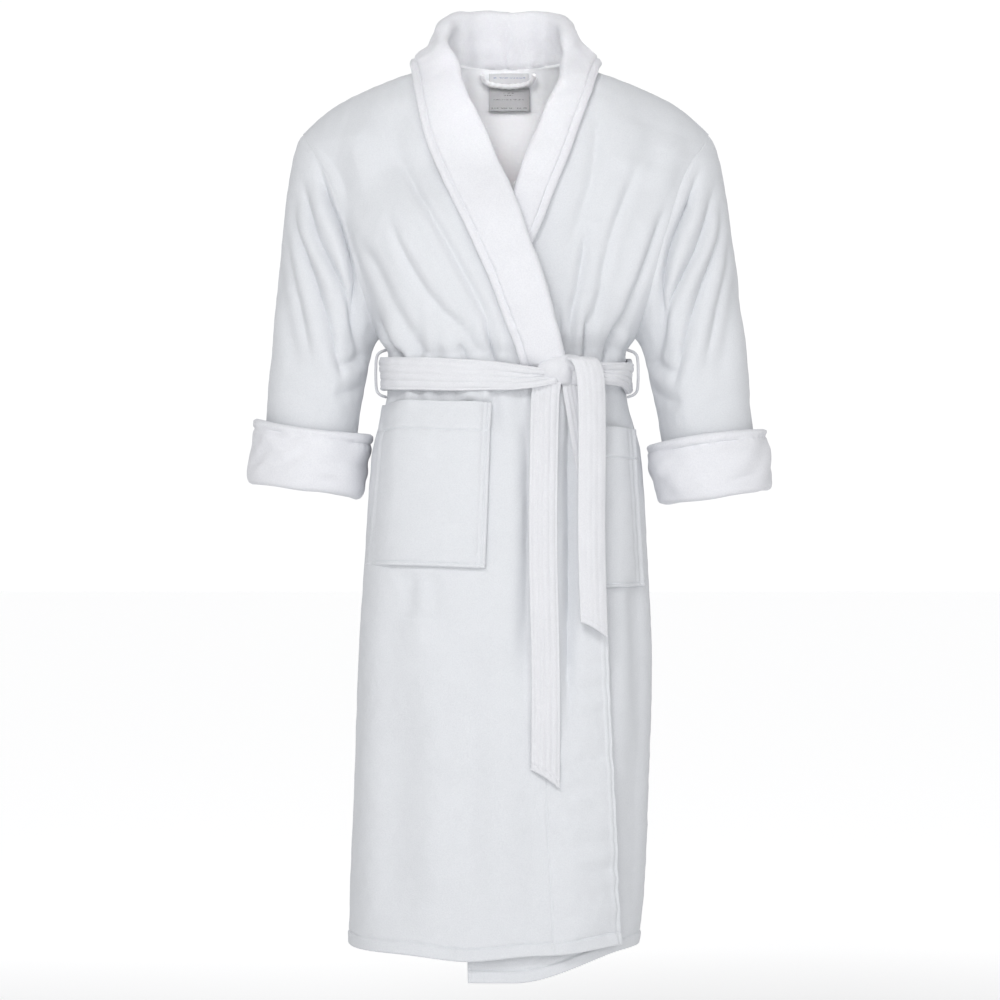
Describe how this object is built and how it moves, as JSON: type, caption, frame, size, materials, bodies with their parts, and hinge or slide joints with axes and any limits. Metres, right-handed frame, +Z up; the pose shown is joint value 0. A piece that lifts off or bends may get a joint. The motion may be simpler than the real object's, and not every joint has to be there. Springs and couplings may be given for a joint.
{
  "type": "bathrobe",
  "caption": "Knee-length shawl-collar terry bathrobe in its worn shape, wrapped and tied with a belt, with turned-back cuffs and patch pockets.",
  "frame": {"origin": "middle of the back neck seam, where the hanging loop is sewn", "axes": "+Z up along the centre back, -Y out of the front, -X to the wearer's right"},
  "size_m": [0.7104, 0.3056, 1.3237],
  "materials": {
    "robe_terry": "matte cotton terry velour",
    "collar_terry": "thick matte cotton terry velour",
    "belt_terry": "matte quilted terry velour",
    "loop_tape": "matte",
    "pale_label": "satin",
    "grey_label": "satin"
  },
  "bodies": {
    "robe": {"back_panel": "robe_terry", "right_front_panel": "robe_terry", "left_front_panel": "robe_terry", "right_front_facing": "robe_terry", "left_front_facing": "robe_terry", "shawl_collar_right": "collar_terry", "shawl_collar_left": "collar_terry", "right_patch_pocket": "robe_terry", "left_patch_pocket": "robe_terry", "belt_waistband": "belt_terry", "belt_knot": "belt_terry", "right_belt_loop": "belt_terry", "left_belt_loop": "belt_terry", "brand_label": "pale_label"},
    "right_arm": {"right_sleeve": "robe_terry", "right_cuff": "collar_terry"},
    "left_arm": {"left_sleeve": "robe_terry", "left_cuff": "collar_terry"},
    "long_tail": {"belt_long_tail": "belt_terry"},
    "short_tail": {"belt_short_tail": "belt_terry"},
    "neck_loop": {"hanging_loop": "loop_tape"},
    "label_flap": {"care_label": "grey_label"}
  },
  "joints": [
    {"name": "right_sleeve_swing", "type": "hinge", "parent": "robe", "child": "right_arm", "pos_m": [-0.266, -0.092, -0.096], "axis": [0, 1, 0], "range_deg": [0, 35]},
    {"name": "left_sleeve_swing", "type": "hinge", "parent": "robe", "child": "left_arm", "pos_m": [0.274, -0.092, -0.096], "axis": [0, -1, 0], "range_deg": [0, 35]},
    {"name": "long_tail_swing", "type": "hinge", "parent": "robe", "child": "long_tail", "pos_m": [0.051, -0.2273, -0.459], "axis": [-1, 0, 0], "range_deg": [0, 50]},
    {"name": "short_tail_swing", "type": "hinge", "parent": "robe", "child": "short_tail", "pos_m": [0.112, -0.2127, -0.459], "axis": [-0.927, -0.375, 0], "range_deg": [0, 50]},
    {"name": "neck_loop_swing", "type": "hinge", "parent": "robe", "child": "neck_loop", "pos_m": [0.004, -0.0275, -0.005], "axis": [-0.9965, 0.0835, 0], "range_deg": [0, 100]},
    {"name": "care_label_flap", "type": "hinge", "parent": "robe", "child": "label_flap", "pos_m": [0.005, -0.003, -0.031], "axis": [-1, 0, 0], "range_deg": [0, 40]}
  ]
}
